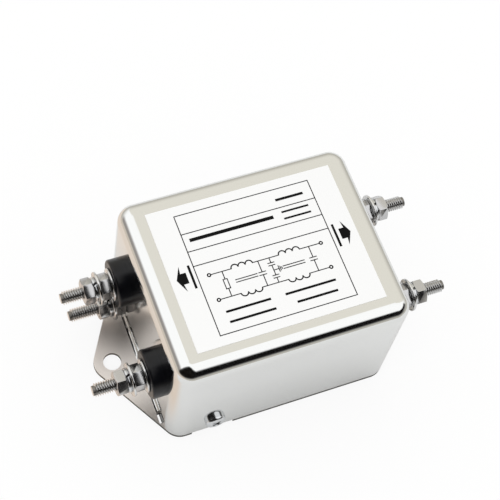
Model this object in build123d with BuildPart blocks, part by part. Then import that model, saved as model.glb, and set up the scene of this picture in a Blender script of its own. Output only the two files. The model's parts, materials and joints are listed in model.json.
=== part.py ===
from build123d import *
import os

# Two-stage mains filter in a deep-drawn steel can with threaded stud terminals.
# The origin is at the centre of the underside. X runs from the line end (-X)
# to the load end (+X), and Z is up. All lengths are in millimetres.
os.makedirs("parts", exist_ok=True)

# Can and base plate
case_length = 71.0
case_width = 57.5
case_height = 45.4
sheet = 0.8
plate = 1.2
corner_radius = 5.2
top_radius = 4.4
lip_reach = 0.9
lip_bend = 0.6
lip_inset = 9.25

# Fixing ears
ear_hole_offset = 8.0
ear_hole = 5.5
ear_rim = 2.85
slot_length = 3.2
slot_width = 0.8

# Cover screws and the tabs that they enter
cover_screw_inset = 13.8
cover_screw_z = 7.5
cover_screw = 3.0
cover_screw_clear = 0.3
cover_screw_length = 4.0
pan_head = 6.2
pan_height = 1.7
pan_edge = 0.7
cross_width = 0.9
cross_reach = 3.0
cross_depth = 1.1
cross_taper = 15.0
cross_turn = 45.0
tab_width = 11.0
tab_height = 11.5
tab_gap = 0.1
tab_bend = 0.5
tab_corner = 1.0
tab_relief = 1.0
tab_relief_depth = 3.0

# Label
label_margin_x = 7.1
label_margin_y = 6.35
label_thickness = 0.15
label_corner = 1.0
label_shift_x = 0.35
label_shift_y = 0.3

# Stud terminals
stud = 4.0
shank = 3.5
stud_tip = 0.5
thread_gap = 0.03
stud_clear = 0.3
terminal_inset = 13.75
earth_z = 8.6
earth_gap = 1.7
stud_reach = 19.7
earth_reach = 17.1
head_height = 2.8
nut_width = 7.0
nut_height = 3.2
nut_chamfer_width = 0.75
nut_chamfer_height = 0.4
inner_nut_turn = 20.0
washer = 10.0
washer_thickness = 0.8
spring_washer = 7.4
spring_thickness = 1.1
spring_slit = 0.7
spring_slant = 25.0

# Insulating bushings
bushing = 14.6
bushing_height = 4.0
bushing_edge = 0.7
bushing_bore = 4.2
spigot = 8.6
spigot_gap = 0.2
spigot_seat = 1.2
collar_height = 2.0

# Terminal straps
strap_thickness = 0.8
strap_ring = 9.0
strap_width = 4.0
strap_leg_y = 6.5
strap_tail = 1.0
earth_foot_inset = 2.5
earth_foot_width = 3.0
earth_foot_reach = 3.4

# Circuit board, its spacers and the liner below it
liner_thickness = 0.5
liner_end_gap = 0.6
liner_side_gap = 0.5
liner_corner = 3.5
board_thickness = 1.6
board_z = 9.5
board_end_gap = 0.9
board_side_gap = 0.75
board_corner = 2.5
notch_depth = 3.4
notch_width = 10.4
slot_gap = 0.3
lead = 0.8
lead_gap = 0.1
lead_tail = 1.5
spacer = 6.0
spacer_peg = 3.0
spacer_peg_gap = 0.1
spacer_tip = 0.8
spacer_inset_x = 7.3
spacer_inset_y = 3.5

# Chokes
choke_gap = 1.35
choke_middle_gap = 1.3
core_bore = 0.547
core_height = 13.0
core_edge = 0.8
choke_base = 1.0
divider = 1.2
wire = 1.5
turns = 9
turn_fill = 0.7
turn_corner = 0.6
winding_arc = 144.0
winding_gap = 0.1
sleeve = 0.35

# Capacitors and resistor
x_cap_length = 18.0
x_cap_width = 5.0
x_cap_height = 11.0
x_cap_pitch = 15.0
x_cap_edge = 0.5
x_cap_strap_gap = 2.0
x_cap_inset = 6.5
y_cap = 9.0
y_cap_thickness = 4.2
y_cap_edge = 1.2
y_cap_pitch = 7.5
y_cap_x = 10.5
y_cap_gap = 0.6
y_cap_lift = 0.8
resistor = 3.4
resistor_length = 9.0
resistor_waist = 0.3
resistor_cap_length = 2.0
resistor_edge = 0.6
resistor_pitch = 12.7
resistor_inset = 2.8
lead_bend = 0.8

# Places and sizes that follow from the ones above
wall_x = case_length / 2
wall_y = case_width / 2
corner_x = wall_x - corner_radius
corner_y = wall_y - corner_radius
inner_x = wall_x - sheet
lip_length = case_width - 2 * lip_inset
ear_hole_x = wall_x + ear_hole_offset
cover_screw_x = wall_x - cover_screw_inset
terminal_y = wall_y - terminal_inset
terminal_z = earth_z + washer / 2 + earth_gap + bushing / 2
tab_y = wall_y - sheet - tab_gap
tab_inner_y = tab_y - plate
board_top = board_z + board_thickness
board_length = 2 * (inner_x - board_end_gap)
board_width = 2 * (wall_y - cover_screw_length - board_side_gap)
collar_depth = sheet + collar_height
strap_x = wall_x - collar_depth - strap_thickness / 2
strap_leg_bottom = board_z - strap_tail
earth_foot_y = board_width / 2 - earth_foot_inset
spacer_x = board_length / 2 - spacer_inset_x
spacer_y = board_width / 2 - spacer_inset_y
x_cap_x = strap_x - strap_thickness / 2 - x_cap_strap_gap - x_cap_width / 2
x_cap_y = board_width / 2 - x_cap_inset
resistor_y = resistor_inset - board_width / 2
y_cap_y = resistor_y + resistor / 2 + y_cap_gap + y_cap_thickness / 2
winding_wall = winding_gap + sleeve
choke_radius = (x_cap_x - x_cap_width / 2 - choke_gap - choke_middle_gap / 2) / 2
choke_x = choke_radius + choke_middle_gap / 2
core_outer = 2 * (choke_radius - winding_wall - wire)
core_inner = core_bore * core_outer
core_z = board_top + choke_base + winding_wall + wire
choke_lead_radius = choke_radius - wire / 2
ends = {"line": -1, "load": 1}
poles = {"live": 1, "neutral": -1}
x_cap_places = {
    "x_capacitor_line": Location((-x_cap_x, 0, 0), (0, 0, 90)),
    "x_capacitor_middle": Location((0, x_cap_y, 0)),
    "x_capacitor_load": Location((x_cap_x, 0, 0), (0, 0, 90)),
}
y_cap_places = {"y_capacitor_live": -y_cap_x, "y_capacitor_neutral": y_cap_x}


def finish_piece(piece, name):
    # Labels one piece and writes it to its file.
    piece.part.label = name
    export_step(piece.part, f"parts/{name}.step")


def outer_face(side, y, z):
    # Plane on the outside of an end wall, with its normal outwards and its own Y up.
    return Plane(origin=(side * wall_x, y, z), x_dir=(0, side, 0), z_dir=(side, 0, 0))


def section_plane(wall, side):
    # Plane through a stud's axis: X is the radius and Y runs outwards along the axis.
    return Plane(origin=wall.origin, x_dir=(0, 0, 1), z_dir=(0, side, 0))


def outermost(piece, side):
    # The edges of a piece that lie furthest out along X on the given side.
    return piece.edges().group_by(Axis.X)[-1 if side > 0 else 0]


# Base plate, one pressing: the floor, two ears, and a tab bent up at each long edge
with BuildPart() as base_plate:
    with BuildSketch():
        RectangleRounded(case_length, case_width, corner_radius)
    extrude(amount=plate)
    for side in ends.values():
        with BuildSketch():
            with Locations((side * ear_hole_x, 0)):
                Circle(ear_hole / 2 + ear_rim)
            with Locations((side * corner_x, -corner_y), (side * corner_x, corner_y)):
                Circle(corner_radius)
            make_hull()
        extrude(amount=plate)
    tab_root = wall_y - tab_relief_depth
    for side in (-1, 1):
        with Locations((side * cover_screw_x, side * wall_y, plate / 2)):
            Box(tab_width + 2 * tab_relief, 2 * tab_relief_depth, plate, mode=Mode.SUBTRACT)
        tab_plane = Plane(origin=(side * cover_screw_x, 0, 0), x_dir=(0, side, 0), z_dir=(side, 0, 0))
        with BuildSketch(tab_plane):
            with BuildLine():
                outside = FilletPolyline((tab_root, 0), (tab_y, 0), (tab_y, tab_height), radius=plate + tab_bend)
                inside = FilletPolyline((tab_inner_y, tab_height), (tab_inner_y, plate), (tab_root, plate),
                                        radius=tab_bend)
                Line(outside @ 1, inside @ 0)
                Line(inside @ 1, outside @ 0)
            make_face()
        extrude(amount=tab_width / 2, both=True)
        with BuildSketch(Plane.XZ.offset(-side * tab_y)):
            with Locations((side * cover_screw_x, cover_screw_z)):
                Circle(cover_screw / 2 + thread_gap)
        extrude(amount=side * plate, mode=Mode.SUBTRACT)
    fillet(base_plate.edges().filter_by(Axis.Y).group_by(Axis.Z)[-1], tab_corner)
    with Locations(*[(side * ear_hole_x, 0, plate) for side in ends.values()]):
        Hole(ear_hole / 2)
    with Locations((0, 0, plate / 2)):
        with GridLocations(case_length + slot_width, lip_length + slot_length + slot_width, 2, 2):
            Box(slot_width, slot_length, plate, mode=Mode.SUBTRACT)
finish_piece(base_plate, "base_plate")

# Cover: a drawn can, open below, with a small foot turned out along each end wall
with BuildPart() as cover:
    with BuildSketch(Plane.XY.offset(plate)):
        RectangleRounded(case_length, case_width, corner_radius)
    extrude(amount=case_height - plate)
    fillet(cover.faces().sort_by(Axis.Z)[-1].edges(), top_radius)
    offset(amount=-sheet, openings=cover.faces().sort_by(Axis.Z)[0])
    for side in ends.values():
        with BuildSketch(Plane.XZ.offset(-lip_length / 2)):
            with BuildLine():
                bend_start = (side * (wall_x + lip_bend), plate + sheet)
                bend_end = (side * wall_x, plate + sheet + lip_bend)
                RadiusArc(bend_start, bend_end, side * lip_bend)
                Polyline(bend_end, (side * (wall_x - sheet / 2), plate + sheet + lip_bend),
                         (side * (wall_x - sheet / 2), plate), (side * (wall_x + lip_reach), plate),
                         (side * (wall_x + lip_reach), plate + sheet), bend_start)
            make_face()
        extrude(amount=lip_length)
    for side in ends.values():
        for half in poles.values():
            with BuildSketch(outer_face(side, half * terminal_y, terminal_z)):
                Circle(spigot / 2 + spigot_gap)
            extrude(amount=-2 * sheet, mode=Mode.SUBTRACT)
    with BuildSketch(outer_face(ends["line"], terminal_y, earth_z)):
        Circle((stud + stud_clear) / 2)
    extrude(amount=-2 * sheet, mode=Mode.SUBTRACT)
    for side in (-1, 1):
        with BuildSketch(Plane.XZ.offset(-side * wall_y)):
            with Locations((side * cover_screw_x, cover_screw_z)):
                Circle((cover_screw + cover_screw_clear) / 2)
        extrude(amount=side * 2 * sheet, mode=Mode.SUBTRACT)
finish_piece(cover, "cover")

# Label, a thin printed sheet stuck on the flat top
with BuildPart() as label:
    with BuildSketch(Plane.XY.offset(case_height)):
        with Locations((label_shift_x, label_shift_y)):
            RectangleRounded(case_length - 2 * label_margin_x, case_width - 2 * label_margin_y, label_corner)
    extrude(amount=label_thickness)
finish_piece(label, "label")

# Pan-head screws with a cross recess, which hold the cover to the two tabs
for side, name in ((-1, "cover_screw_front"), (1, "cover_screw_rear")):
    seat = Plane(origin=(side * cover_screw_x, side * wall_y, cover_screw_z), x_dir=(1, 0, 0), z_dir=(0, side, 0))
    with BuildPart() as screw:
        with BuildSketch(seat):
            Circle(pan_head / 2)
        extrude(amount=pan_height)
        fillet(screw.edges().group_by(Axis.Y)[-1 if side > 0 else 0], pan_height - pan_edge)
        with BuildSketch(seat):
            Circle(cover_screw / 2)
        extrude(amount=-cover_screw_length)
        chamfer(screw.edges().group_by(Axis.Y)[0 if side > 0 else -1], stud_tip)
        for turn in (cross_turn, cross_turn + 90):
            with BuildSketch(seat.offset(pan_height)):
                Rectangle(cross_reach, cross_width, rotation=turn)
            extrude(amount=-cross_depth, taper=cross_taper, mode=Mode.SUBTRACT)
    finish_piece(screw, name)


def make_terminal(prefix, side, y, z, stack_start, reach, head_depth):
    # One stud with its two nuts, flat washers and split spring washer.
    # A stack that starts above the wall stands on a bushing and has a washer under its inner nut.
    wall = outer_face(side, y, z)
    section = section_plane(wall, side)
    stud_axis = Axis(wall.origin, wall.z_dir)
    inner_washer = [stack_start] if stack_start > 0 else []
    inner_nut = stack_start + washer_thickness * len(inner_washer)
    outer_washer = inner_nut + nut_height
    spring_start = outer_washer + washer_thickness
    outer_nut = spring_start + spring_thickness
    corner = nut_width / 3**0.5

    with BuildPart() as bolt:
        with BuildSketch(wall.offset(-head_depth)):
            RegularPolygon(nut_width / 2, 6, major_radius=False)
        extrude(amount=-head_height)
        with BuildSketch(wall.offset(-head_depth)):
            Circle(shank / 2)
        extrude(amount=head_depth + outer_nut + nut_height)
        with BuildSketch(wall.offset(outer_nut + nut_height)):
            Circle(stud / 2)
        extrude(amount=reach - outer_nut - nut_height)
        chamfer(outermost(bolt, side), stud_tip)
    finish_piece(bolt, f"{prefix}_stud")

    with BuildPart() as nuts:
        for start, turn in ((inner_nut, side * inner_nut_turn), (outer_nut, 0)):
            with BuildSketch(wall.offset(start)):
                RegularPolygon(nut_width / 2, 6, major_radius=False, rotation=turn)
                Circle(shank / 2 + thread_gap, mode=Mode.SUBTRACT)
            extrude(amount=nut_height)
            with BuildSketch(section):
                for face_at, inwards in ((start, 1), (start + nut_height, -1)):
                    with BuildLine():
                        Polyline((corner - nut_chamfer_width, face_at), (2 * corner, face_at),
                                 (2 * corner, face_at + inwards * nut_chamfer_height * (1 + corner / nut_chamfer_width)),
                                 close=True)
                    make_face()
            revolve(axis=stud_axis, mode=Mode.SUBTRACT)
    finish_piece(nuts, f"{prefix}_nuts")

    with BuildPart() as flat_washers:
        for start in inner_washer + [outer_washer]:
            with BuildSketch(wall.offset(start)):
                Circle(washer / 2)
                Circle((stud + stud_clear) / 2, mode=Mode.SUBTRACT)
            extrude(amount=washer_thickness)
    finish_piece(flat_washers, f"{prefix}_flat_washers" if inner_washer else f"{prefix}_flat_washer")

    with BuildPart() as spring_ring:
        with BuildSketch(wall.offset(spring_start)):
            Circle(spring_washer / 2)
            Circle((stud + stud_clear) / 2, mode=Mode.SUBTRACT)
        extrude(amount=spring_thickness)
        middle = Location(wall.offset(spring_start + spring_thickness / 2))
        with Locations(middle * Location((0, spring_washer / 2, 0), (0, spring_slant, 0))):
            Box(spring_slit, spring_washer, 3 * spring_thickness, mode=Mode.SUBTRACT)
    finish_piece(spring_ring, f"{prefix}_spring_washer")


# Four insulated terminals: bushing outside, collar inside, and a strap down to the board
for end, side in ends.items():
    for pole, half in poles.items():
        prefix = f"{end}_{pole}"
        y = half * terminal_y
        wall = outer_face(side, y, terminal_z)
        make_terminal(prefix, side, y, terminal_z, bushing_height, stud_reach, collar_depth + strap_thickness)

        with BuildPart() as bush:
            with BuildSketch(wall):
                Circle(bushing / 2)
            extrude(amount=bushing_height)
            fillet(outermost(bush, side), bushing_edge)
            with BuildSketch(wall):
                Circle(spigot / 2)
            extrude(amount=-(sheet + spigot_seat))
            with BuildSketch(wall.offset(bushing_height)):
                Circle(bushing_bore / 2)
            extrude(amount=-(bushing_height + sheet + spigot_seat), mode=Mode.SUBTRACT)
        finish_piece(bush, f"{prefix}_bushing")

        with BuildPart() as collar:
            with BuildSketch(wall.offset(-sheet)):
                Circle(bushing / 2)
                Circle(bushing_bore / 2, mode=Mode.SUBTRACT)
            extrude(amount=-collar_height)
            with BuildSketch(wall.offset(-sheet)):
                Circle(spigot / 2 + spigot_gap)
            extrude(amount=-spigot_seat, mode=Mode.SUBTRACT)
        finish_piece(collar, f"{prefix}_collar")

        leg_x = side * (half * strap_leg_y - y)
        leg_height = terminal_z - strap_leg_bottom
        with BuildPart() as strap:
            with BuildSketch(wall.offset(-collar_depth)):
                Circle(strap_ring / 2)
                with Locations((leg_x / 2, 0)):
                    Rectangle(abs(leg_x) + strap_width, strap_width)
                with Locations((leg_x, -leg_height / 2)):
                    Rectangle(strap_width, leg_height)
                Circle((stud + stud_clear) / 2, mode=Mode.SUBTRACT)
            extrude(amount=-strap_thickness)
        finish_piece(strap, f"{prefix}_strap")

# Earth terminal, straight on the metal of the line end, with a bent strap to the board
make_terminal("earth", ends["line"], terminal_y, earth_z, 0, earth_reach, sheet + strap_thickness)
with BuildPart() as earth_strap:
    earth_wall = outer_face(ends["line"], terminal_y, earth_z)
    foot_x = ends["line"] * (earth_foot_y - terminal_y)
    foot_z = board_top - earth_z
    with BuildSketch(earth_wall.offset(-sheet)):
        Circle(strap_ring / 2)
        with Locations((foot_x / 2, foot_z / 2)):
            Rectangle(abs(foot_x) + earth_foot_width, foot_z + strap_thickness)
        with Locations((foot_x, foot_z)):
            Rectangle(earth_foot_width, 2 * strap_thickness)
        Circle((stud + stud_clear) / 2, mode=Mode.SUBTRACT)
    extrude(amount=-strap_thickness)
    with BuildSketch(Plane.XY.offset(board_top)):
        with Locations((ends["line"] * (inner_x - earth_foot_reach / 2), earth_foot_y)):
            Rectangle(earth_foot_reach, earth_foot_width)
    extrude(amount=strap_thickness)
finish_piece(earth_strap, "earth_strap")

# Insulating liner on the base plate
with BuildPart() as insulating_liner:
    with BuildSketch(Plane.XY.offset(plate)):
        RectangleRounded(2 * (inner_x - liner_end_gap), 2 * (tab_inner_y - liner_side_gap), liner_corner)
    extrude(amount=liner_thickness)
finish_piece(insulating_liner, "insulating_liner")

# Four spacers that carry the board, each with a peg through it
with BuildPart() as board_spacers:
    with BuildSketch(Plane.XY.offset(plate + liner_thickness)):
        with GridLocations(2 * spacer_x, 2 * spacer_y, 2, 2):
            Circle(spacer / 2)
    extrude(amount=board_z - plate - liner_thickness)
    with BuildSketch(Plane.XY.offset(board_z)):
        with GridLocations(2 * spacer_x, 2 * spacer_y, 2, 2):
            Circle(spacer_peg / 2)
    extrude(amount=board_thickness + spacer_tip)
    chamfer(board_spacers.edges().group_by(Axis.Z)[-1], spacer_tip / 2)
finish_piece(board_spacers, "board_spacers")

# Where each choke's windings end, as angles round its own axis
half_gap = (180 - winding_arc) / 2
lead_angle = half_gap + winding_arc / turns / 2
lead_angles = (lead_angle, 180 - lead_angle, 180 + lead_angle, -lead_angle)

# Circuit board with a hole for each lead, slots for the straps and a notch for the earth stud's head
with BuildPart() as circuit_board:
    with BuildSketch(Plane.XY.offset(board_z)):
        RectangleRounded(board_length, board_width, board_corner)
        with GridLocations(2 * spacer_x, 2 * spacer_y, 2, 2):
            Circle(spacer_peg / 2 + spacer_peg_gap, mode=Mode.SUBTRACT)
        with GridLocations(2 * strap_x, 2 * strap_leg_y, 2, 2):
            Rectangle(strap_thickness + 2 * slot_gap, strap_width + 2 * slot_gap, mode=Mode.SUBTRACT)
        with Locations((ends["line"] * board_length / 2, terminal_y)):
            Rectangle(2 * notch_depth, notch_width, mode=Mode.SUBTRACT)
        for side in ends.values():
            with Locations(*[Location((side * choke_x, 0, 0)) * Location((0, 0, 0), (0, 0, angle))
                             * Location((choke_lead_radius, 0, 0)) for angle in lead_angles]):
                Circle(wire / 2 + lead_gap, mode=Mode.SUBTRACT)
        for place in x_cap_places.values():
            with Locations(place):
                with GridLocations(x_cap_pitch, 0, 2, 1):
                    Circle(lead / 2 + lead_gap, mode=Mode.SUBTRACT)
        for x in y_cap_places.values():
            with Locations((x, y_cap_y)):
                with GridLocations(y_cap_pitch, 0, 2, 1):
                    Circle(lead / 2 + lead_gap, mode=Mode.SUBTRACT)
        with Locations((0, resistor_y)):
            with GridLocations(resistor_pitch, 0, 2, 1):
                Circle(lead / 2 + lead_gap, mode=Mode.SUBTRACT)
    extrude(amount=board_thickness)
finish_piece(circuit_board, "circuit_board")

# Two common-mode chokes: a ring core that stands on a base, whose divider passes through the ring
divider_top = core_z + core_height + winding_wall
for end, side in ends.items():
    centre = Plane(origin=(side * choke_x, 0, 0))

    with BuildPart() as core:
        with BuildSketch(centre.offset(core_z)):
            Circle(core_outer / 2)
            Circle(core_inner / 2, mode=Mode.SUBTRACT)
        extrude(amount=core_height)
        chamfer(core.edges().filter_by(GeomType.CIRCLE), core_edge)
    finish_piece(core, f"choke_core_{end}")

    with BuildPart() as base:
        with BuildSketch(centre.offset(board_top)):
            Circle(core_outer / 2)
        extrude(amount=choke_base)
        with BuildSketch(centre.offset(board_top)):
            Rectangle(core_outer - 2 * core_edge, divider)
        extrude(amount=core_z - board_top)
        with BuildSketch(centre.offset(board_top)):
            Rectangle(core_inner - 2 * winding_gap, divider)
        extrude(amount=divider_top - board_top)
    finish_piece(base, f"choke_base_{end}")

# One winding on the +Y half of a ring: turns side by side on a thin sleeve, and a lead down at each end
core_middle = ((core_inner + core_outer) / 4, core_z + core_height / 2)
section_size = ((core_outer - core_inner) / 2, core_height)
turn_pitch = winding_arc / turns
with BuildPart() as winding:
    with BuildSketch(Plane.XZ.rotated((0, 0, half_gap))):
        with Locations(core_middle):
            Rectangle(*[size + 2 * winding_wall for size in section_size])
            Rectangle(*[size + 2 * winding_gap for size in section_size], mode=Mode.SUBTRACT)
    revolve(axis=Axis.Z, revolution_arc=winding_arc)
    for turn in range(turns):
        turn_start = half_gap + turn_pitch * (turn + (1 - turn_fill) / 2)
        with BuildSketch(Plane.XZ.rotated((0, 0, turn_start))):
            with Locations(core_middle):
                RectangleRounded(*[size + 2 * (winding_wall + wire) for size in section_size], turn_corner)
                Rectangle(*[size + 2 * winding_wall - sleeve for size in section_size], mode=Mode.SUBTRACT)
        revolve(axis=Axis.Z, revolution_arc=turn_pitch * turn_fill)
    with BuildSketch(Plane.XY.offset(board_z - lead_tail)):
        with PolarLocations(choke_lead_radius, 2, start_angle=lead_angle, angular_range=180 - 2 * lead_angle,
                            endpoint=True):
            Circle(wire / 2)
    extrude(amount=core_z + core_height / 2 - board_z + lead_tail)

for end, side in ends.items():
    for pole, half in poles.items():
        with BuildPart() as coil:
            with Locations(Location((side * choke_x, 0, 0), (0, 0, 90 - half * 90))):
                add(winding.part)
        finish_piece(coil, f"winding_{end}_{pole}")

# Three boxed capacitors across the line
for name, place in x_cap_places.items():
    with BuildPart() as x_capacitor:
        with Locations(Location((0, 0, board_top)) * place):
            Box(x_cap_length, x_cap_width, x_cap_height, align=(Align.CENTER, Align.CENTER, Align.MIN))
        upper = x_capacitor.edges().group_by(Axis.Z)[-1] + x_capacitor.edges().filter_by(Axis.Z)
        fillet(upper, x_cap_edge)
        with BuildSketch(Plane.XY.offset(board_top)):
            with Locations(place):
                with GridLocations(x_cap_pitch, 0, 2, 1):
                    Circle(lead / 2)
        extrude(amount=-(board_thickness + lead_tail))
    finish_piece(x_capacitor, name)

# Two disc capacitors from the poles to earth
for name, x in y_cap_places.items():
    y_cap_z = board_top + y_cap_lift + y_cap / 2
    with BuildPart() as y_capacitor:
        with BuildSketch(Plane.XZ.offset(-y_cap_y)):
            with Locations((x, y_cap_z)):
                Circle(y_cap / 2)
        extrude(amount=y_cap_thickness / 2, both=True)
        fillet(y_capacitor.edges().filter_by(GeomType.CIRCLE), y_cap_edge)
        with BuildSketch(Plane.XY.offset(board_z - lead_tail)):
            with Locations((x, y_cap_y)):
                with GridLocations(y_cap_pitch, 0, 2, 1):
                    Circle(lead / 2)
        extrude(amount=y_cap_z - board_z + lead_tail)
    finish_piece(y_capacitor, name)

# Bleed resistor: a body with thicker ends on one wire bent down at both sides
with BuildPart() as bleed_resistor:
    resistor_axis = Plane(origin=(0, resistor_y, board_top + resistor / 2), z_dir=(1, 0, 0))
    with BuildSketch(resistor_axis):
        Circle(resistor / 2 - resistor_waist)
    extrude(amount=resistor_length / 2, both=True)
    for cap in (-1, 1):
        with BuildSketch(resistor_axis.offset(cap * resistor_length / 2)):
            Circle(resistor / 2)
        extrude(amount=-cap * resistor_cap_length)
    fillet(bleed_resistor.edges().filter_by(GeomType.CIRCLE).group_by(Axis.X)[0], resistor_edge)
    fillet(bleed_resistor.edges().filter_by(GeomType.CIRCLE).group_by(Axis.X)[-1], resistor_edge)
    with BuildLine(Plane.XZ.offset(-resistor_y)):
        tail_z = board_z - lead_tail
        wire_z = board_top + resistor / 2
        FilletPolyline((-resistor_pitch / 2, tail_z), (-resistor_pitch / 2, wire_z), (resistor_pitch / 2, wire_z),
                       (resistor_pitch / 2, tail_z), radius=lead_bend)
    with BuildSketch(Plane.XY.offset(tail_z)):
        with Locations((-resistor_pitch / 2, resistor_y)):
            Circle(lead / 2)
    sweep()
finish_piece(bleed_resistor, "bleed_resistor")
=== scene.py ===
import json
import math
import bpy
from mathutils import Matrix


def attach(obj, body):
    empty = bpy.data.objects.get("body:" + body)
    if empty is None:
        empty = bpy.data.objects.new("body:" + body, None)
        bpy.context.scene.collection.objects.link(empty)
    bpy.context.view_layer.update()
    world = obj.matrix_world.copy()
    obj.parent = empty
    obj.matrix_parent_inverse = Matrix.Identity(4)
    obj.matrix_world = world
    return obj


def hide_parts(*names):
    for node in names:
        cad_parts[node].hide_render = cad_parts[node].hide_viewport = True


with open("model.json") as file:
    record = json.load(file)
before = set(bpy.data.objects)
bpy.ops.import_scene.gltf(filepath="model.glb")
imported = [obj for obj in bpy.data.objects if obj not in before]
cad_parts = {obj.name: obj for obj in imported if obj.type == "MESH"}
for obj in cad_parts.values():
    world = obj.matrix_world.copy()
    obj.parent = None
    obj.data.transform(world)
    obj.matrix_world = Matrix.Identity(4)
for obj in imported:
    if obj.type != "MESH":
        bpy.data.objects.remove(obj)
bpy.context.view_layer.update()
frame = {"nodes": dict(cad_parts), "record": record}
nodes = frame["nodes"]
print("frame loaded with", len(nodes), "nodes")

mm = 0.001

# Metals have a waviness: how far their roughness drifts from patch to patch. The rest have a
# grain: a fine bump. Patches and grain sizes are in millimetres, and the grains are coarser than
# the real ones, which would be too fine to show.
finishes = {
    # Bright nickel plate on drawn steel: a warm grey mirror, hardly blurred
    "nickelPlate": {"colour": "#E1E2E1", "roughness": 0.1, "waviness": 0.02, "patch": 8.0},
    # The same plate on the pressed base, scuffed by the press: blurred, with painted shade on its
    # upright edges
    "nickelFlange": {"colour": "#F6EFE9", "roughness": 0.45, "waviness": 0.04, "patch": 5.0,
                     "edge": "#57544F"},
    # Nickel plate on turned brass studs and washers: neutral, bright crests and rims
    "nickelBrass": {"colour": "#D6D6D6", "roughness": 0.14, "waviness": 0.03, "patch": 3.0},
    # Barrel-plated nickel on the nuts: greyer, with soft-edged reflections on the facets
    "nickelNut": {"colour": "#C2C2C3", "roughness": 0.19, "waviness": 0.05, "patch": 2.0},
    # The same plate in the thread's groove, painted darker as shade in the groove, which sets off
    # the crests
    "grooveShadeNickel": {"colour": "#86837F", "roughness": 0.42, "waviness": 0.05, "patch": 1.0},
    # Bright zinc plate on spring steel and screws: a bluish white gloss
    "zincScrew": {"colour": "#D2D4D6", "roughness": 0.18, "waviness": 0.03, "patch": 3.0},
    # Hot tin on copper strap: a soft grey sheen
    "tinnedCopper": {"colour": "#C4C2BC", "roughness": 0.3, "waviness": 0.05, "patch": 4.0},
    # Enamelled winding wire: deep orange copper under clear varnish
    "enamelledCopper": {"colour": "#A9592B", "roughness": 0.25, "waviness": 0.03, "patch": 3.0},
    # Moulded phenolic: near black with a cool, satin highlight
    "blackInsulator": {"colour": "#07070D", "roughness": 0.3, "ior": 1.6, "shine": 0.26,
                       "grain": 0.05, "size": 0.6},
    # Printed polyester film: even white, almost without a highlight
    "labelFilm": {"colour": "#FBFBFA", "roughness": 0.4, "ior": 1.57, "shine": 0.3,
                  "grain": 0.01, "size": 1.0},
    # Screen ink on the film: flat black
    "labelInk": {"colour": "#050506", "roughness": 0.5, "ior": 1.5, "shine": 0.1,
                 "grain": 0.02, "size": 0.5},
    # Pressed insulating card: matt cream with fibres
    "linerCard": {"colour": "#D9D6C8", "roughness": 0.6, "ior": 1.5, "shine": 0.4,
                  "grain": 0.05, "size": 1.5},
    # Natural nylon: milky white, soft highlight
    "spacerPlastic": {"colour": "#E4E2DA", "roughness": 0.45, "ior": 1.53, "shine": 0.5,
                      "grain": 0.03, "size": 0.8},
    # Phenolic paper laminate: tan, with a faint weave
    "boardLaminate": {"colour": "#B79A5E", "roughness": 0.5, "ior": 1.55, "shine": 0.5,
                      "grain": 0.06, "size": 0.9},
    # Epoxy-coated ferrite: dark grey, dull
    "ferrite": {"colour": "#3F3F42", "roughness": 0.6, "ior": 1.55, "shine": 0.4,
                "grain": 0.08, "size": 0.7},
    # Moulded capacitor box: ochre plastic, semi-gloss
    "capacitorBox": {"colour": "#C9B24A", "roughness": 0.4, "ior": 1.5, "shine": 0.5,
                     "grain": 0.03, "size": 0.8},
    # Dipped ceramic disc: blue lacquer, glossy
    "capacitorDisc": {"colour": "#2F6FB0", "roughness": 0.3, "ior": 1.5, "shine": 0.5,
                      "grain": 0.03, "size": 0.8},
    # Lacquered resistor body: beige, glossy
    "resistorBody": {"colour": "#C8A77A", "roughness": 0.35, "ior": 1.5, "shine": 0.5,
                     "grain": 0.03, "size": 0.8},
}
pattern = {"patchDetail": 3.0, "grainDetail": 2.0, "grainHeight": 0.2, "edgeBelow": 0.5}


def linearColour(text):
    values = []
    for start in (1, 3, 5):
        level = int(text[start:start + 2], 16) / 255
        values.append(level / 12.92 if level <= 0.04045 else ((level + 0.055) / 1.055) ** 2.4)
    return (values[0], values[1], values[2], 1.0)


def addNode(tree, kind, settings={}, links={}):
    node = tree.nodes.new(kind)
    for name, value in settings.items():
        if isinstance(name, str) and hasattr(node, name):
            setattr(node, name, value)
        else:
            node.inputs[name].default_value = value
    for name, source in links.items():
        tree.links.new(source, node.inputs[name])
    return node


def emptyTree(owner):
    owner.use_nodes = True
    owner.node_tree.nodes.clear()
    return owner.node_tree


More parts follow.
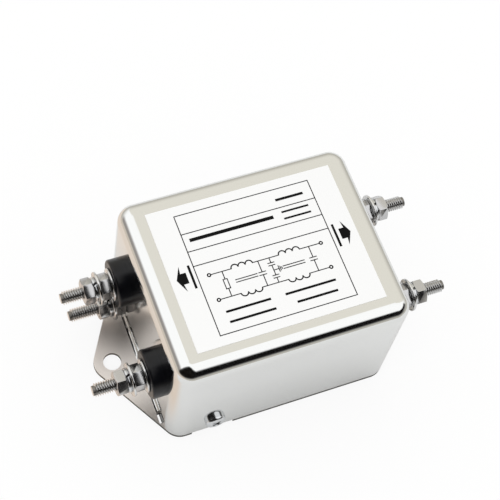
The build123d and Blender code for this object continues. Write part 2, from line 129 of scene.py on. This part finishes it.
materials = {}
for finishName, finish in finishes.items():
    material = bpy.data.materials.new(finishName)
    tree = emptyTree(material)
    place = addNode(tree, "ShaderNodeTexCoord")
    shader = addNode(tree, "ShaderNodeBsdfPrincipled", {
        "Base Color": linearColour(finish["colour"]), "Roughness": finish["roughness"]})
    if "waviness" in finish:
        shader.inputs["Metallic"].default_value = 1.0
        noise = addNode(tree, "ShaderNodeTexNoise", {
            "Scale": 1 / (finish["patch"] * mm), "Detail": pattern["patchDetail"],
        }, {"Vector": place.outputs["Object"]})
        spread = addNode(tree, "ShaderNodeMapRange", {
            "To Min": finish["roughness"] - finish["waviness"],
            "To Max": finish["roughness"] + finish["waviness"],
        }, {"Value": noise.outputs["Fac"]})
        tree.links.new(spread.outputs["Result"], shader.inputs["Roughness"])
    else:
        shader.inputs["IOR"].default_value = finish["ior"]
        shader.inputs["Specular IOR Level"].default_value = finish["shine"]
        noise = addNode(tree, "ShaderNodeTexNoise", {
            "Scale": 1 / (finish["size"] * mm), "Detail": pattern["grainDetail"],
        }, {"Vector": place.outputs["Object"]})
        bump = addNode(tree, "ShaderNodeBump", {
            "Strength": finish["grain"], "Distance": pattern["grainHeight"] * mm,
        }, {"Height": noise.outputs["Fac"]})
        tree.links.new(bump.outputs["Normal"], shader.inputs["Normal"])
    if "edge" in finish:  # faces that stand upright get painted shade, a dark line along the base's edges
        parts = addNode(tree, "ShaderNodeSeparateXYZ", {}, {"Vector": place.outputs["Normal"]})
        steepness = addNode(tree, "ShaderNodeMath", {"operation": "ABSOLUTE"},
                            {0: parts.outputs["Z"]})
        flat = addNode(tree, "ShaderNodeMath", {
            "operation": "GREATER_THAN", 1: pattern["edgeBelow"]}, {0: steepness.outputs["Value"]})
        pick = addNode(tree, "ShaderNodeMix", {
            "data_type": "RGBA", "A": linearColour(finish["edge"]),
            "B": linearColour(finish["colour"]),
        }, {"Factor": flat.outputs["Value"]})
        tree.links.new(pick.outputs["Result"], shader.inputs["Base Color"])
    addNode(tree, "ShaderNodeOutputMaterial", {}, {"Surface": shader.outputs["BSDF"]})
    materials[finishName] = material

slotFinish = {
    "nickel_plate": "nickelPlate",
    "label_film": "labelFilm",
    "zinc_screw": "zincScrew",
    "nickel_brass": "nickelBrass",
    "black_insulator": "blackInsulator",
    "tinned_copper": "tinnedCopper",
    "liner_card": "linerCard",
    "spacer_plastic": "spacerPlastic",
    "board_laminate": "boardLaminate",
    "ferrite": "ferrite",
    "enamelled_copper": "enamelledCopper",
    "capacitor_box": "capacitorBox",
    "capacitor_disc": "capacitorDisc",
    "resistor_body": "resistorBody",
}
nodeFinish = {"base_plate": "nickelFlange"}
for part in frame["record"]["subparts"]:
    piece = nodes[part["node"]]
    finishName = nodeFinish.get(part["node"], slotFinish[part["material_slot"]])
    for materialSlot in piece.material_slots:
        materialSlot.material = materials[finishName]
print("materials made")


def selectOnly(piece):
    bpy.ops.object.select_all(action="DESELECT")
    piece.select_set(True)
    bpy.context.view_layer.objects.active = piece


def bakePlace(piece):
    selectOnly(piece)
    bpy.ops.object.transform_apply(location=True, rotation=True, scale=True)


def joinPieces(pieces, name):
    selectOnly(pieces[0])
    for piece in pieces:
        piece.select_set(True)
    bpy.ops.object.join()
    joined = bpy.context.object
    joined.name = name
    joined.data.name = name
    return joined


def finishPiece(piece, finish, materialSlot):
    piece.data.materials.clear()
    piece.data.materials.append(materials[finish])
    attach(piece, "root")


# Label sheet, the printed film on the flat top
labelFilm = {"low": (-28.1, -21.95), "high": (28.75, 22.75), "foot": 45.4, "thickness": 0.12}
labelSize = [high - low for low, high in zip(labelFilm["low"], labelFilm["high"])]
labelCentre = [(high + low) / 2 for low, high in zip(labelFilm["low"], labelFilm["high"])]
labelMiddle = labelFilm["foot"] + labelFilm["thickness"] / 2
bpy.ops.mesh.primitive_cube_add(
    size=1, location=(labelCentre[0] * mm, labelCentre[1] * mm, labelMiddle * mm))
labelSheet = bpy.context.object
labelSheet.name = "labelSheet"
labelSheet.scale = (labelSize[0] * mm, labelSize[1] * mm, labelFilm["thickness"] * mm)
bakePlace(labelSheet)
finishPiece(labelSheet, "labelFilm", "label_film")
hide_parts("label")

# Label print: a ruled table, an arrow at each side, a circuit sketch and plain bars. The table is
# left, low, right, high, and a bar is left, low, width, height.
labelPrint = {
    "thickness": 0.03,
    "sink": 0.01,  # how far the ink reaches into the film
    "line": 0.28,
    "ringHalf": 0.196,  # half the width of a round line
    "ringSteps": 40,
    "table": (-20.4, -18.9, 20.9, 19.7),
    "rules": (13.6, 7.9, 3.2),
    "bars": (
        (9.5, 15.8, 8.6, 0.8), (-18.6, 10.7, 25.6, 1.1), (9.8, 11.7, 8.4, 0.6),
        (9.8, 9.5, 8.4, 0.6), (-16.4, -13.0, 13.4, 0.7), (1.4, -13.0, 15.4, 0.7),
        (-16.4, -16.2, 13.8, 0.7), (3.8, -16.2, 12.4, 0.7),
        (-22.1, -3.4, 0.7, 7.4), (22.0, -3.4, 0.7, 7.4),
    ),
}
printLow = labelFilm["foot"] + labelFilm["thickness"] - labelPrint["sink"]
printHigh = printLow + labelPrint["thickness"]
printMiddle = (printLow + printHigh) / 2
inkPieces = []


def inkBox(left, low, width, height):
    bpy.ops.mesh.primitive_cube_add(
        size=1, location=((left + width / 2) * mm, (low + height / 2) * mm, printMiddle * mm))
    piece = bpy.context.object
    piece.scale = (width * mm, height * mm, labelPrint["thickness"] * mm)
    bakePlace(piece)
    inkPieces.append(piece)


def inkLine(x0, y0, x1, y1):
    line = labelPrint["line"]
    inkBox(min(x0, x1) - line / 2, min(y0, y1) - line / 2, abs(x1 - x0) + line, abs(y1 - y0) + line)


def inkRing(x, y, radius, halfKept=None):
    bpy.ops.mesh.primitive_torus_add(
        major_segments=labelPrint["ringSteps"], minor_segments=4, major_radius=radius * mm,
        minor_radius=labelPrint["ringHalf"] * mm, location=(0, 0, 0))
    piece = bpy.context.object
    bpy.ops.object.mode_set(mode="EDIT")
    if halfKept is not None:  # 1 keeps the upper half of the ring and -1 the lower
        bpy.ops.mesh.bisect(
            plane_co=(0, 0, 0), plane_no=(0, halfKept, 0), clear_inner=True, use_fill=True)
    bpy.ops.object.mode_set(mode="OBJECT")
    piece.scale = (1, 1, labelPrint["thickness"] / (2 * labelPrint["ringHalf"]))
    piece.location = (x * mm, y * mm, printMiddle * mm)
    bakePlace(piece)
    inkPieces.append(piece)


tableLeft, tableLow, tableRight, tableHigh = labelPrint["table"]
inkLine(tableLeft, tableLow, tableRight, tableLow)
inkLine(tableLeft, tableHigh, tableRight, tableHigh)
inkLine(tableLeft, tableLow, tableLeft, tableHigh)
inkLine(tableRight, tableLow, tableRight, tableHigh)
for height in labelPrint["rules"]:
    inkLine(tableLeft, height, tableRight, height)
for left, low, width, height in labelPrint["bars"]:
    inkBox(left, low, width, height)

# The sketch's two rails, with a coil in each rail for each choke, and what joins the rails
sketch = {
    "rails": (-0.6, -8.6),
    "ends": (-16.6, 16.6),
    "terminal": 0.45,
    "coils": ((-10.4, -4.0), (4.0, 10.4)), "bumps": 3, "coreHalfGap": 0.4,
    "capacitors": (-2.4, 13.2), "plateHalfGap": 0.45, "plateHalf": 1.0,
    "resistor": -13.2, "resistorHalfWidth": 0.6, "resistorHalfLength": 1.5,
    "earthed": 1.0, "earthedHalfGap": 0.4, "earthedHalf": 0.9,
    "earth": 2.6, "earthStep": 0.45, "earthHalves": (0.9, 0.6, 0.3),
}
railHigh, railLow = sketch["rails"]
railMiddle = (railHigh + railLow) / 2
for rail in sketch["rails"]:
    stops = [sketch["ends"][0]]
    for coil in sketch["coils"]:
        stops.extend(coil)
    stops.append(sketch["ends"][1])
    for index in range(0, len(stops), 2):
        inkLine(stops[index], rail, stops[index + 1], rail)
    for coil in sketch["coils"]:
        bump = (coil[1] - coil[0]) / sketch["bumps"]
        for index in range(sketch["bumps"]):
            inkRing(coil[0] + (index + 0.5) * bump, rail, bump / 2, 1 if rail == railHigh else -1)
    for end, away in zip(sketch["ends"], (-1, 1)):
        inkRing(end + away * sketch["terminal"], rail, sketch["terminal"])
for coil in sketch["coils"]:
    for y in (railMiddle - sketch["coreHalfGap"], railMiddle + sketch["coreHalfGap"]):
        inkLine(coil[0], y, coil[1], y)
for x in sketch["capacitors"]:
    for rail, y in ((railHigh, railMiddle + sketch["plateHalfGap"]),
                    (railLow, railMiddle - sketch["plateHalfGap"])):
        inkLine(x, rail, x, y)
        inkLine(x - sketch["plateHalf"], y, x + sketch["plateHalf"], y)
x = sketch["resistor"]
for rail, y in ((railHigh, railMiddle + sketch["resistorHalfLength"]),
                (railLow, railMiddle - sketch["resistorHalfLength"])):
    inkLine(x, rail, x, y)
    inkLine(x - sketch["resistorHalfWidth"], y, x + sketch["resistorHalfWidth"], y)
for side in (x - sketch["resistorHalfWidth"], x + sketch["resistorHalfWidth"]):
    inkLine(side, railMiddle - sketch["resistorHalfLength"],
            side, railMiddle + sketch["resistorHalfLength"])
x = sketch["earthed"]
for rail in sketch["rails"]:
    height = (rail + railMiddle) / 2
    away = math.copysign(sketch["earthedHalfGap"], rail - height)
    inkLine(x, rail, x, height + away)
    inkLine(x, height - away, x, railMiddle)
    for y in (height - away, height + away):
        inkLine(x - sketch["earthedHalf"], y, x + sketch["earthedHalf"], y)
inkLine(x, railMiddle, sketch["earth"], railMiddle)
for step, half in enumerate(sketch["earthHalves"]):
    x = sketch["earth"] + step * sketch["earthStep"]
    inkLine(x, railMiddle - half, x, railMiddle + half)

# The arrows' outline runs from the tip round the barbs and the shaft
arrow = {
    "tips": (-26.3, 26.8), "y": 0.4, "length": 3.2, "barb": 1.9, "barbWidth": 8.0, "neck": 1.6,
    "shaftWidth": 3.4, "nearTip": (0.3, 0.6),
}
for tipX, away in zip(arrow["tips"], (-1, 1)):
    bpy.ops.mesh.primitive_circle_add(vertices=8, radius=1, fill_type="NGON", location=(0, 0, 0))
    piece = bpy.context.object
    outline = (
        (0, 0),
        (arrow["barb"], arrow["barbWidth"] / 2),
        (arrow["neck"], arrow["shaftWidth"] / 2),
        (arrow["length"], arrow["shaftWidth"] / 2),
        (arrow["length"], -arrow["shaftWidth"] / 2),
        (arrow["neck"], -arrow["shaftWidth"] / 2),
        (arrow["barb"], -arrow["barbWidth"] / 2),
        (arrow["nearTip"][0], -arrow["nearTip"][1]),
    )
    for corner, (back, across) in zip(piece.data.vertices, outline):
        corner.co = (-away * back * mm, away * across * mm, 0)
    bpy.ops.object.mode_set(mode="EDIT")
    bpy.ops.mesh.select_all(action="SELECT")
    bpy.ops.mesh.extrude_region_move(
        TRANSFORM_OT_translate={"value": (0, 0, labelPrint["thickness"] * mm)})
    bpy.ops.mesh.select_all(action="SELECT")
    bpy.ops.mesh.normals_make_consistent(inside=False)
    bpy.ops.object.mode_set(mode="OBJECT")
    piece.location = (tipX * mm, arrow["y"] * mm, printLow * mm)
    bakePlace(piece)
    inkPieces.append(piece)
inkPrint = joinPieces(inkPieces, "labelPrint")
finishPiece(inkPrint, "labelInk", "label_film")
print("label made")

# Terminal hardware along X, modelled once for each kind and copied to the terminals
hardware = {
    "roundSteps": 40, "mergeWithin": 0.001,
    # Stud, with a hexagon head as wide as the nuts
    "threadRadius": 2.0, "rootRadius": 1.46, "shankRadius": 1.75, "headHeight": 2.8,
    "pitch": 0.7, "crest": 0.1, "root": 0.6, "tip": 0.5, "turnSteps": 28, "studShade": 35,
    "threadInNut": 0.3, "ridgeInCore": 0.05, "ridgeShort": 0.02, "turnSpare": 0.1,
    # Nut, cut by a cone that reaches a little past its corners
    "nutWidth": 7.0, "nutHeight": 3.2, "nutBore": 1.78, "countersink": 0.3,
    "chamferWidth": 0.75, "chamferHeight": 0.4, "chamferReach": 1.1, "nutSteps": 96,
    "nutEdge": 0.09, "nutEdgeAngle": 50, "nutShade": 28,
    # Flat washer and split spring washer
    "washerRadius": 5.0, "washerHeight": 0.8, "washerBore": 2.15, "washerEdge": 0.16,
    "springRadius": 3.7, "springHeight": 1.1, "springEdge": 0.14,
    "slitWidth": 0.7, "slitLength": 3.3, "slitDepth": 4.44, "slitSlant": 25,
    "ringSteps": 64, "ringShade": 50,
}
stacks = {
    "insulated": {"head": 31.9, "innerWasher": 39.5, "innerNut": 40.3, "tip": 55.2},
    "earth": {"head": 33.9, "innerNut": 35.5, "tip": 52.6},
}
for stack in stacks.values():
    stack["outerWasher"] = stack["innerNut"] + hardware["nutHeight"]
    stack["spring"] = stack["outerWasher"] + hardware["washerHeight"]
    stack["outerNut"] = stack["spring"] + hardware["springHeight"]
    stack["nutFace"] = stack["outerNut"] + hardware["nutHeight"]


def xCylinder(radius, start, end, vertices):
    bpy.ops.mesh.primitive_cylinder_add(
        vertices=vertices, radius=radius * mm, depth=(end - start) * mm,
        location=((start + end) / 2 * mm, 0, 0), rotation=(0, math.pi / 2, 0))
    piece = bpy.context.object
    bakePlace(piece)
    return piece


def turnedRing(outline, steps):
    # A closed outline of (x, radius) pairs turned once round the X axis
    bpy.ops.mesh.primitive_circle_add(
        vertices=len(outline), radius=1, fill_type="NOTHING", location=(0, 0, 0))
    ring = bpy.context.object
    for corner, (x, radius) in zip(ring.data.vertices, outline):
        corner.co = (x * mm, radius * mm, 0)
    turn = ring.modifiers.new("turn", "SCREW")
    turn.axis = "X"
    turn.steps = steps
    turn.render_steps = steps
    turn.use_merge_vertices = True
    turn.merge_threshold = hardware["mergeWithin"] * mm
    bpy.ops.object.modifier_apply(modifier=turn.name)
    selectOnly(ring)
    bpy.ops.object.mode_set(mode="EDIT")
    bpy.ops.mesh.select_all(action="SELECT")
    bpy.ops.mesh.remove_doubles(threshold=hardware["mergeWithin"] * mm)
    bpy.ops.mesh.normals_make_consistent(inside=False)
    bpy.ops.object.mode_set(mode="OBJECT")
    return ring


def cutWith(piece, tool, operation):
    selectOnly(piece)
    cutter = piece.modifiers.new("cut", "BOOLEAN")
    cutter.operation = operation
    cutter.solver = "EXACT"
    cutter.object = tool
    bpy.ops.object.modifier_apply(modifier=cutter.name)
    bpy.data.objects.remove(tool, do_unlink=True)


def bandedRing(start, height, inner, outer, edge):
    end = start + height
    return turnedRing((
        (start, inner + edge / 2), (start, outer - edge), (start + edge, outer),
        (end - edge, outer), (end, outer - edge), (end, inner + edge / 2),
        (end - edge / 2, inner), (start + edge / 2, inner),
    ), hardware["ringSteps"])


def makeNut():
    height, bore, sink = hardware["nutHeight"], hardware["nutBore"], hardware["countersink"]
    corner = hardware["nutWidth"] / math.sqrt(3)
    low = corner - hardware["chamferWidth"]
    high = low + hardware["chamferWidth"] * hardware["chamferReach"]
    rise = hardware["chamferHeight"] * hardware["chamferReach"]
    nut = xCylinder(corner, 0, height, 6)
    tool = turnedRing((
        (0, bore + sink), (0, low), (rise, high), (height - rise, high),
        (height, low), (height, bore + sink), (height - sink, bore), (sink, bore),
    ), hardware["nutSteps"])
    cutWith(nut, tool, "INTERSECT")
    bevel = nut.modifiers.new("edges", "BEVEL")
    bevel.width = hardware["nutEdge"] * mm
    bevel.segments = 2
    bevel.limit_method = "ANGLE"
    bevel.angle_limit = math.radians(hardware["nutEdgeAngle"])
    bpy.ops.object.modifier_apply(modifier=bevel.name)
    bpy.ops.object.shade_smooth_by_angle(angle=math.radians(hardware["nutShade"]))
    return nut


def makeWasher(start):
    washer = bandedRing(start, hardware["washerHeight"], hardware["washerBore"],
                        hardware["washerRadius"], hardware["washerEdge"])
    selectOnly(washer)
    bpy.ops.object.shade_smooth_by_angle(angle=math.radians(hardware["ringShade"]))
    return washer


def makeSpring(start):
    spring = bandedRing(start, hardware["springHeight"], hardware["washerBore"],
                        hardware["springRadius"], hardware["springEdge"])
    middle = start + hardware["springHeight"] / 2
    bpy.ops.mesh.primitive_cube_add(
        size=1, location=(middle * mm, 0, hardware["springRadius"] / 2 * mm),
        rotation=(0, 0, math.radians(hardware["slitSlant"])))
    slit = bpy.context.object
    slit.scale = (hardware["slitLength"] * mm, hardware["slitWidth"] * mm,
                  hardware["slitDepth"] * mm)
    bakePlace(slit)
    cutWith(spring, slit, "DIFFERENCE")
    bpy.ops.object.shade_smooth_by_angle(angle=math.radians(hardware["ringShade"]))
    return spring


def makeRidge(start, nutFace, tip):
    # A tapered strip wound round the core, and cut back to a cone at the tip
    bpy.ops.mesh.primitive_plane_add(size=1, location=(0, 0, 0))
    ridge = bpy.context.object
    for corner in ridge.data.vertices:
        crest = corner.co.y > 0
        width = hardware["crest"] if crest else hardware["root"]
        buried = hardware["rootRadius"] - hardware["ridgeInCore"]
        radius = hardware["threadRadius"] if crest else buried
        corner.co = (start * mm + math.copysign(width / 2, corner.co.x) * mm, radius * mm, 0)
    selectOnly(ridge)
    bpy.ops.object.mode_set(mode="EDIT")
    bpy.ops.mesh.select_all(action="SELECT")
    bpy.ops.mesh.delete(type="ONLY_FACE")
    bpy.ops.object.mode_set(mode="OBJECT")
    winding = ridge.modifiers.new("helix", "SCREW")
    winding.axis = "X"
    winding.screw_offset = hardware["pitch"] * mm
    winding.iterations = int((tip - nutFace + hardware["turnSpare"]) / hardware["pitch"])
    winding.steps = hardware["turnSteps"]
    winding.render_steps = hardware["turnSteps"]
    bpy.ops.object.modifier_apply(modifier=winding.name)
    for corner in ridge.data.vertices:
        radius = math.hypot(corner.co.y, corner.co.z)
        past = max(0, corner.co.x - (tip - hardware["tip"]) * mm)
        limit = hardware["threadRadius"] * mm - past
        if radius > limit:
            corner.co.y *= limit / radius
            corner.co.z *= limit / radius
        corner.co.x = min(corner.co.x, (tip - hardware["ridgeShort"]) * mm)
    bpy.ops.object.mode_set(mode="EDIT")
    bpy.ops.mesh.select_all(action="SELECT")
    bpy.ops.mesh.fill_holes(sides=0)
    bpy.ops.mesh.normals_make_consistent(inside=False)
    bpy.ops.object.mode_set(mode="OBJECT")
    return ridge


def makeStud(stack):
    headEnd, tip, steps = stack["head"], stack["tip"], hardware["roundSteps"]
    start = stack["nutFace"] - hardware["threadInNut"]
    head = xCylinder(hardware["nutWidth"] / math.sqrt(3), headEnd - hardware["headHeight"],
                     headEnd, 6)
    shank = xCylinder(hardware["shankRadius"], headEnd, start, steps)
    core = xCylinder(hardware["rootRadius"], start, tip, steps)
    # the core between the turns is painted dark, as shade in the thread's groove
    core.data.materials.append(materials["grooveShadeNickel"])
    core.data.materials.append(materials["nickelBrass"])
    for face in core.data.polygons:
        if abs(face.normal.x) > 0.9:  # the core's end faces
            face.material_index = 1
    ridge = makeRidge(start, stack["nutFace"], tip)
    for piece in (head, shank, ridge):
        piece.data.materials.append(materials["nickelBrass"])
    stud = joinPieces([head, shank, ridge, core], "stud")
    bpy.ops.object.shade_smooth_by_angle(angle=math.radians(hardware["studShade"]))
    return stud


def copyPiece(master):
    selectOnly(master)
    bpy.ops.object.duplicate()
    return bpy.context.object


def setOnWall(piece, terminal, word, side, y, z):
    words = terminal.split("_") + [word]
    piece.name = words[0] + "".join(part.capitalize() for part in words[1:])
    piece.data.name = piece.name
    piece.rotation_euler = (0, 0, 0 if side > 0 else math.pi)
    piece.location = (0, y * mm, z * mm)
    bakePlace(piece)


masters = {}
for kind, stack in stacks.items():
    masters[kind] = {
        "stud": makeStud(stack),
        "spring": makeSpring(stack["spring"]),
        "washers": makeWasher(stack["outerWasher"]),
    }
    if "innerWasher" in stack:
        pair = [masters[kind]["washers"], makeWasher(stack["innerWasher"])]
        masters[kind]["washers"] = joinPieces(pair, "washers")
masterNut = makeNut()

# Side, y, z, and how far the inner and the outer nut are turned about the stud, in degrees
# towards the front
terminals = {
    "load_live": (1, 15.0, 22.6, 27, 5),
    "load_neutral": (1, -15.0, 22.6, 27, -9),
    "line_live": (-1, 15.0, 22.6, 26, 27),
    "line_neutral": (-1, -15.0, 22.6, 28, -12),
    "earth": (-1, 15.0, 8.6, 14, -12),
}
wordFinish = {
    "nuts": ("nickelNut", "nickel_brass"),
    "washers": ("nickelBrass", "nickel_brass"),
    "spring": ("zincScrew", "zinc_screw"),
}
for terminal, (side, y, z, innerTurn, outerTurn) in terminals.items():
    kind = "earth" if terminal == "earth" else "insulated"
    stack = stacks[kind]
    pair = []
    for start, turn in ((stack["innerNut"], innerTurn), (stack["outerNut"], outerTurn)):
        nut = copyPiece(masterNut)
        nut.location = (start * mm, 0, 0)
        nut.rotation_euler = (math.radians(turn * side), 0, 0)
        bakePlace(nut)
        pair.append(nut)
    pieces = {
        "nuts": joinPieces(pair, "nuts"),
        "stud": copyPiece(masters[kind]["stud"]),
        "spring": copyPiece(masters[kind]["spring"]),
        "washers": copyPiece(masters[kind]["washers"]),
    }
    replaced = {
        "nuts": terminal + "_nuts",
        "stud": terminal + "_stud",
        "spring": terminal + "_spring_washer",
        "washers": terminal + ("_flat_washer" if kind == "earth" else "_flat_washers"),
    }
    for word, piece in pieces.items():
        setOnWall(piece, terminal, word, side, y, z)
        if word == "stud":
            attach(piece, "root")
        else:
            finishPiece(piece, *wordFinish[word])
        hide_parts(replaced[word])
for group in masters.values():
    for master in group.values():
        bpy.data.objects.remove(master, do_unlink=True)
bpy.data.objects.remove(masterNut, do_unlink=True)
print("terminals made")

# Floor. Camera and mirrors see part of it as plain white, and the rest is lit, so the shadow stays.
# In mirrors the white is warm past the line end, and there is none of it right beside the part.
# Each side is an axis and where along it, in millimetres, the change starts and ends.
stageFloor = {
    "size": 0.42, "colour": "#F6F6F5", "cameraWhite": 0.86, "mirrorWhite": 0.42, "white": 1.015,
    "warm": "#FFDCB8",
    "warmSides": (("X", -36, -46), ("Y", -36, -27)),
    "greySides": (("Y", -39, -27), ("X", -42, -34)),
}
bpy.ops.object.select_all(action="DESELECT")
bpy.ops.mesh.primitive_plane_add(size=stageFloor["size"], location=(0, 0, 0))
floor = bpy.context.object
floor.name = "floor"
paleFloor = bpy.data.materials.new("paleFloor")
tree = emptyTree(paleFloor)
paths = addNode(tree, "ShaderNodeLightPath")
matt = addNode(tree, "ShaderNodeBsdfDiffuse", {"Color": linearColour(stageFloor["colour"])})
mirrorRay = addNode(tree, "ShaderNodeMath", {"operation": "MAXIMUM"}, {
    0: paths.outputs["Is Glossy Ray"], 1: paths.outputs["Is Transmission Ray"]})
place = addNode(tree, "ShaderNodeTexCoord")
parts = addNode(tree, "ShaderNodeSeparateXYZ", {}, {"Vector": place.outputs["Object"]})
shares = {}
for name in ("warmSides", "greySides"):
    shares[name] = mirrorRay
    for axis, start, end in stageFloor[name]:
        side = addNode(tree, "ShaderNodeMapRange", {
            "From Min": start * mm, "From Max": end * mm}, {"Value": parts.outputs[axis]})
        shares[name] = addNode(tree, "ShaderNodeMath", {"operation": "MULTIPLY"}, {
            0: shares[name].outputs["Value"], 1: side.outputs["Result"]})
warm = addNode(tree, "ShaderNodeMix", {
    "data_type": "RGBA", "A": (1, 1, 1, 1), "B": linearColour(stageFloor["warm"]),
}, {"Factor": shares["warmSides"].outputs["Value"]})
plain = addNode(tree, "ShaderNodeEmission", {"Strength": stageFloor["white"]}, {
    "Color": warm.outputs["Result"]})
whiteShare = addNode(tree, "ShaderNodeMath", {"operation": "SUBTRACT"}, {
    0: mirrorRay.outputs["Value"], 1: shares["greySides"].outputs["Value"]})
forMirror = addNode(tree, "ShaderNodeMath", {
    "operation": "MULTIPLY", 1: stageFloor["mirrorWhite"]}, {0: whiteShare.outputs["Value"]})
forCamera = addNode(tree, "ShaderNodeMath", {
    "operation": "MULTIPLY", 1: stageFloor["cameraWhite"]}, {0: paths.outputs["Is Camera Ray"]})
share = addNode(tree, "ShaderNodeMath", {"operation": "MAXIMUM"}, {
    0: forMirror.outputs["Value"], 1: forCamera.outputs["Value"]})
blend = addNode(tree, "ShaderNodeMixShader", {}, {
    "Fac": share.outputs["Value"], 1: matt.outputs["BSDF"], 2: plain.outputs["Emission"]})
addNode(tree, "ShaderNodeOutputMaterial", {}, {"Surface": blend.outputs["Shader"]})
floor.data.materials.append(paleFloor)

# The room that the metal mirrors, under a white ceiling. A zone has a colour, a strength and its
# sides, and lies where a direction's share along every side has passed from the first value to
# the second.
above = ((0.0, 0.0, 1.0), -0.09, 0.31)
viewerSide = ((0.0, -1.0, 0.0), 0.0, 0.14)
room = {
    "light": 1.0,
    "ceiling": 1.27,
    "zones": {
        "beigeWall": ("#F9F5EA", 1.0, (((0.533, 0.682, 0.5), 0.737, 0.799),)),
        "lowWall": ("#C6C2B8", 1.0, (((0.0, 0.0, -1.0), -0.6, 0.15),)),
        "warmCard": ("#EADCCC", 0.85, (
            ((-1.0, 0.0, 0.0), 0.6, 0.85), ((0.0, 0.0, -1.0), -0.2, 0.1))),
        "doorway": ("#4A3526", 0.66, (
            ((-1.0, 0.0, 0.0), 0.55, 0.85), ((0.0, 0.0, 1.0), 0.0, 0.2),
            ((0.0, 0.0, -1.0), -0.62, -0.38))),
        "darkFront": ("#050404", 1.0, (viewerSide, above, ((-0.3, 0.0, -1.0), -0.76, -0.66))),
        "darkViewer": ("#050404", 1.0, (viewerSide, above, ((-1.1, 0.0, -1.0), -1.075, -0.93))),
        "darkCorner": ("#0C0805", 0.97, (
            ((-1.0, 0.0, 0.0), -0.02, 0.1), ((0.0, -1.0, 0.0), -0.15, 0.0), above)),
    },
}
world = bpy.data.worlds.new("studio")
bpy.context.scene.world = world
tree = emptyTree(world)
paths = addNode(tree, "ShaderNodeLightPath")
direction = addNode(tree, "ShaderNodeTexCoord")
seen = addNode(tree, "ShaderNodeCombineColor", {
    "Red": room["ceiling"], "Green": room["ceiling"], "Blue": room["ceiling"]})
seenColour = seen.outputs["Color"]
for colour, strength, sides in room["zones"].values():
    amount = addNode(tree, "ShaderNodeValue")
    amount.outputs["Value"].default_value = strength
    for side, start, end in sides:
        along = addNode(tree, "ShaderNodeVectorMath", {"operation": "DOT_PRODUCT", 1: side}, {
            0: direction.outputs["Generated"]})
        step = addNode(tree, "ShaderNodeMapRange", {
            "interpolation_type": "SMOOTHSTEP", "From Min": start, "From Max": end,
        }, {"Value": along.outputs["Value"]})
        amount = addNode(tree, "ShaderNodeMath", {"operation": "MULTIPLY"}, {
            0: amount.outputs["Value"], 1: step.outputs["Result"]})
    tint = addNode(tree, "ShaderNodeMix", {"data_type": "RGBA", "B": linearColour(colour)}, {
        "Factor": amount.outputs["Value"], "A": seenColour})
    seenColour = tint.outputs["Result"]
mirrored = addNode(tree, "ShaderNodeBackground", {"Strength": 1.0}, {"Color": seenColour})
even = addNode(tree, "ShaderNodeBackground", {"Color": (1, 1, 1, 1), "Strength": room["light"]})
white = addNode(tree, "ShaderNodeBackground", {"Color": (1, 1, 1, 1), "Strength": 1.0})
mirrorRay = addNode(tree, "ShaderNodeMath", {"operation": "MAXIMUM"}, {
    0: paths.outputs["Is Glossy Ray"], 1: paths.outputs["Is Transmission Ray"]})
lit = addNode(tree, "ShaderNodeMixShader", {}, {
    "Fac": mirrorRay.outputs["Value"], 1: even.outputs["Background"],
    2: mirrored.outputs["Background"]})
backdrop = addNode(tree, "ShaderNodeMixShader", {}, {
    "Fac": paths.outputs["Is Camera Ray"], 1: lit.outputs["Shader"],
    2: white.outputs["Background"]})
addNode(tree, "ShaderNodeOutputWorld", {}, {"Surface": backdrop.outputs["Shader"]})

cameraView = {
    "place": (-0.11140, -0.15800, 0.41304),
    "turn": (28.752, -7.068, -20.915),
    "lens": 105.69,
    "shiftX": -0.01493,
    "shiftY": -0.08501,
}
bpy.ops.object.camera_add(
    location=cameraView["place"], rotation=[math.radians(a) for a in cameraView["turn"]])
camera = bpy.context.object
camera.data.lens = cameraView["lens"]
camera.data.shift_x = cameraView["shiftX"]
camera.data.shift_y = cameraView["shiftY"]
bpy.context.scene.camera = camera
bpy.context.scene.view_settings.view_transform = "Standard"
print("floor, light and camera placed")
